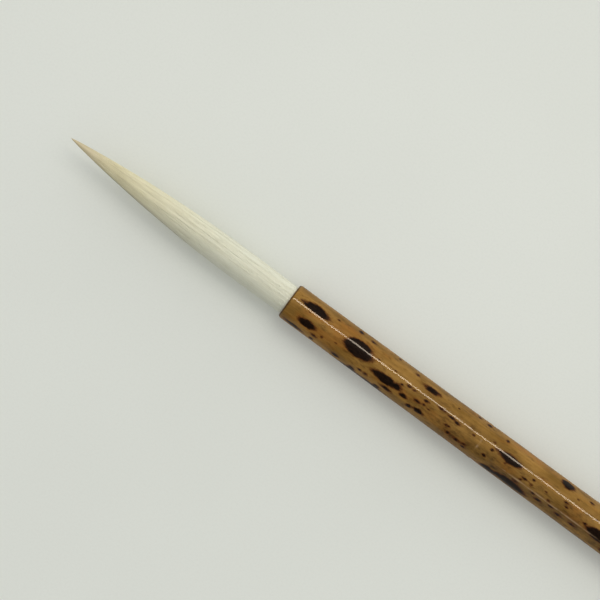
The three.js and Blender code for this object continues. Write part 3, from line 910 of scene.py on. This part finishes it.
def thread_look():
    """Red silk, twisted from fine plies."""
    look = Look("red_silk_thread")
    twist = look.node("ShaderNodeTexWave", wave_type="BANDS", bands_direction="DIAGONAL")
    twist.inputs["Scale"].default_value = 2200
    twist.inputs["Distortion"].default_value = 1.0
    look.join(look.node("ShaderNodeTexCoord").outputs["Object"], twist.inputs["Vector"])
    plies = twist.outputs["Fac"]
    look.join(look.mix(plies, srgb(122, 24, 20), srgb(196, 60, 48)), look.shader.inputs["Base Color"])
    look.set(roughness=0.55, sheen_weight=0.3)
    look.join(look.bump(plies, 0.00004, 0.8), look.shader.inputs["Normal"])
    return look.material


def glue_look(name, thin, thick):
    """Dried glue or resin: amber that darkens where it is thick, with small bubbles."""
    look = Look(name)
    cloud = look.noise((500, 700, 700), detail=4)
    bubbles = look.node("ShaderNodeTexVoronoi", feature="F1")
    bubbles.inputs["Scale"].default_value = 2600
    look.join(look.node("ShaderNodeTexCoord").outputs["Object"], bubbles.inputs["Vector"])
    pits = look.steps(bubbles.outputs["Distance"], 0.05, 0.22)
    colour = look.mix(look.steps(cloud, 0.3, 0.7), thin, thick)
    look.join(look.mix(pits, thick, colour), look.shader.inputs["Base Color"])
    look.join(look.steps(cloud, 0.2, 0.8, 0.18, 0.36), look.shader.inputs["Roughness"])
    look.set(coat_weight=0.5, coat_roughness=0.1)
    look.join(look.bump(pits, 0.00003, 0.5), look.shader.inputs["Normal"])
    return look.material


def binding_piece(node, winding, material):
    """A real winding of thread: one long coil of close turns, with rounded ends."""
    winding_radius, turns = winding
    low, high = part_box(node)
    start = distance_from_mouth(low) + THREAD_END_GAP
    end = distance_from_mouth(high) - THREAD_END_GAP
    steps = turns * STEPS_EACH_TURN
    thread_turns = turns_round(THREAD_SIDES)
    rings = []
    for i in range(steps + 1):
        share = i / steps
        turn = TURN * turns * share
        half = THREAD_HALF * min(1.0, 0.3 + 20 * min(share, 1 - share))
        radius = winding_radius + half * np.cos(thread_turns)
        x = start + (end - start) * share + half * np.sin(thread_turns)
        rings.append(np.stack([x, radius * math.sin(turn), radius * math.cos(turn)], axis=1))
    piece = mesh_piece(f"{node}_winding", [np.stack(rings)], [material])
    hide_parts(node)
    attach(piece, "handle")


def glue_piece(material):
    """The sleeve of glue, with an uneven edge towards the mouth where it was wiped off."""
    low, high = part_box("socket_glue")
    start = distance_from_mouth(low)
    end = distance_from_mouth(high)
    turns = turns_round(SLEEVE_SIDES)
    uneven = GLUE_UNEVEN * (np.sin(3 * turns) + 0.6 * np.sin(7 * turns + 1))
    rings = []
    outside = [(start + 0.5, 2.95), (start + 2.5, 2.98), (end - 0.2, 2.98), (end, 2.9)]
    inside = [(end, 2.78), (end - 0.3, 2.73), (start + 2.5, 2.73), (start + 0.5, 2.8)]
    for x, radius in outside + inside:
        ring_here = ring(x, radius, turns)
        ring_here[:, 0] += uneven * (x < start + 1)
        rings.append(ring_here)
    piece = mesh_piece("glue_sleeve", [np.stack(rings)], [material], True)
    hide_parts("socket_glue")
    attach(piece, "handle")


def seal_piece(material):
    """The drop of resin behind the cut hair, domed and a little lopsided."""
    low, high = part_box("root_seal")
    start = distance_from_mouth(low) + 0.02
    thickness = distance_from_mouth(high) - start - 0.05
    turns = turns_round(SLEEVE_SIDES)
    rings = [ring(start, SEAL_MIDDLE, turns), ring(start, 1.6, turns), ring(start, 2.4, turns)]
    lopsided = 1 + 0.03 * np.sin(turns + 0.5) + 0.015 * np.sin(5 * turns)
    for angle in np.radians(np.linspace(0, 88, 12)):
        x = start + SEAL_EDGE + (thickness - SEAL_EDGE) * math.sin(angle)
        radius = SEAL_MIDDLE + SEAL_REACH * math.cos(angle)
        rings.append(ring(x, radius * lopsided, turns))
    piece = mesh_piece("resin_seal", [np.stack(rings)], [material])
    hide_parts("root_seal")
    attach(piece, "handle")


# ---- stage ------------------------------------------------------------------------------------------

PICTURE_WIDTH = 0.1105  # metres of the brush's plane across the picture
IMAGE_TURN = math.radians(36.3)  # the brush runs down to the right at this angle
CAMERA_HEIGHT = 0.5
CAMERA_ALONG = 1.57  # mm from the mouth to the middle of the picture
CAMERA_ASIDE = 1.22
SENSOR = 36.0
ROOM_LIGHT = 0.77
ROOM_LEAN = 0.5  # how much brighter the +Y side is than the middle
ROOM_MIRRORED = 0.15
ROOM_COLOUR = (0.945, 0.975, 1.0)
FLOOR_GLOW = 0.075
FLOOR_HALF = 4.0
FLOOR_DROP = 0.00003  # the floor lies this far under the brush, so that they don't share a plane
LAMP_REACH = 0.42
LAMP_SHIFT = 0.04
# For each lamp: how far it leans towards +Y, its size in metres, its radiance and its colour.
HIGHLIGHT_STRIP = (math.radians(25.5), (0.9, 0.055), 29.0, (1.0, 0.84, 0.66))
SOFT_LAMP = (math.radians(31), (0.22, 0.20), 2.2, (1.0, 0.98, 0.94))


def add_camera():
    """A camera straight above the brush, turned so that the brush runs across the picture's corner."""
    data = bpy.data.cameras.new("camera")
    data.sensor_width = SENSOR
    data.lens = SENSOR * (CAMERA_HEIGHT - MOUTH.z) / PICTURE_WIDTH
    data.clip_start = 0.01
    camera = bpy.data.objects.new("camera", data)
    camera.location = MOUTH + ALONG * CAMERA_ALONG * MM + SIDE * CAMERA_ASIDE * MM
    camera.location.z = CAMERA_HEIGHT
    camera.rotation_euler = (0, 0, IMAGE_TURN)
    bpy.context.scene.collection.objects.link(camera)
    bpy.context.scene.camera = camera


def add_light(name, lean, size, radiance, colour):
    """A flat lamp over the brush that leans from overhead towards +Y."""
    data = bpy.data.lights.new(name, "AREA")
    data.shape = "RECTANGLE"
    data.size, data.size_y = size
    data.energy = radiance * math.pi * size[0] * size[1]
    data.color = colour
    light = bpy.data.objects.new(name, data)
    reach = Vector((0, math.sin(lean), math.cos(lean))) * LAMP_REACH
    light.location = MOUTH + Vector((LAMP_SHIFT, 0, 0)) + reach
    light.rotation_euler = (-lean, 0, 0)
    light.visible_camera = False
    bpy.context.scene.collection.objects.link(light)
    return light


def add_room_light():
    """Light from all round, brighter on the +Y side. The lacquer mirrors only a part of it."""
    world = bpy.data.worlds.new("soft_room")
    world.use_nodes = True
    nodes = world.node_tree.nodes
    links = world.node_tree.links
    background = nodes["Background"]
    background.inputs["Color"].default_value = (*ROOM_COLOUR, 1)
    direction = nodes.new("ShaderNodeTexCoord")
    parts = nodes.new("ShaderNodeSeparateXYZ")
    side = nodes.new("ShaderNodeMapRange")
    side.inputs["From Min"].default_value = -1.0
    side.inputs["To Min"].default_value = ROOM_LIGHT * (1 - ROOM_LEAN)
    side.inputs["To Max"].default_value = ROOM_LIGHT * (1 + ROOM_LEAN)
    ray = nodes.new("ShaderNodeLightPath")
    mirrored = nodes.new("ShaderNodeMapRange")
    mirrored.inputs["To Min"].default_value = 1.0
    mirrored.inputs["To Max"].default_value = ROOM_MIRRORED
    strength = nodes.new("ShaderNodeMath")
    strength.operation = "MULTIPLY"
    links.new(direction.outputs["Generated"], parts.inputs["Vector"])
    links.new(parts.outputs["Y"], side.inputs["Value"])
    links.new(ray.outputs["Is Glossy Ray"], mirrored.inputs["Value"])
    links.new(side.outputs["Result"], strength.inputs[0])
    links.new(mirrored.outputs["Result"], strength.inputs[1])
    links.new(strength.outputs["Value"], background.inputs["Strength"])
    bpy.context.scene.world = world
    bpy.context.scene.view_settings.view_transform = "Standard"


def floor_look():
    """Pale paper on a faintly lit table, which keeps the shadows on it open."""
    look = Look("pale_paper")
    fine = look.noise((2200, 2200, 2200), detail=3, roughness=0.6)
    broad = look.noise((18, 18, 18), detail=2)
    colour = look.mix(look.steps(broad, 0.3, 0.7), srgb(215, 216, 206), srgb(218, 219, 209))
    colour = look.mix(look.steps(fine, 0.4, 0.7, 0, 0.12), colour, srgb(200, 200, 190))
    look.join(colour, look.shader.inputs["Base Color"])
    look.set(roughness=0.75, specular_ior_level=0.2, emission_strength=FLOOR_GLOW)
    look.set(emission_color=(1.0, 1.0, 0.96, 1.0))
    return look.material


def add_stage():
    """The pale floor, the light from all round and two lamps: one mirrored, one that lights."""
    mesh = bpy.data.meshes.new("floor")
    half = FLOOR_HALF
    corners = [(-half, -half, 0), (half, -half, 0), (half, half, 0), (-half, half, 0)]
    mesh.from_pydata(corners, [], [(0, 1, 2, 3)])
    mesh.materials.append(floor_look())
    floor = bpy.data.objects.new("floor", mesh)
    floor.location.z = -FLOOR_DROP
    bpy.context.scene.collection.objects.link(floor)

    add_room_light()
    strip = add_light("highlight_strip", *HIGHLIGHT_STRIP)
    strip.visible_diffuse = False
    lamp = add_light("soft_lamp", *SOFT_LAMP)
    lamp.visible_glossy = False


add_camera()
add_stage()
handle_piece([bamboo_skin(), bamboo_cut()])
plug_piece(dark_wood())
tuft_pieces()
silk = thread_look()
binding_piece("core_thread", CORE_WINDING, silk)
binding_piece("cover_thread", COVER_WINDING, silk)
glue_piece(glue_look("hide_glue", srgb(208, 160, 88), srgb(160, 104, 44)))
seal_piece(glue_look("pine_resin", srgb(120, 68, 30), srgb(66, 32, 14)))
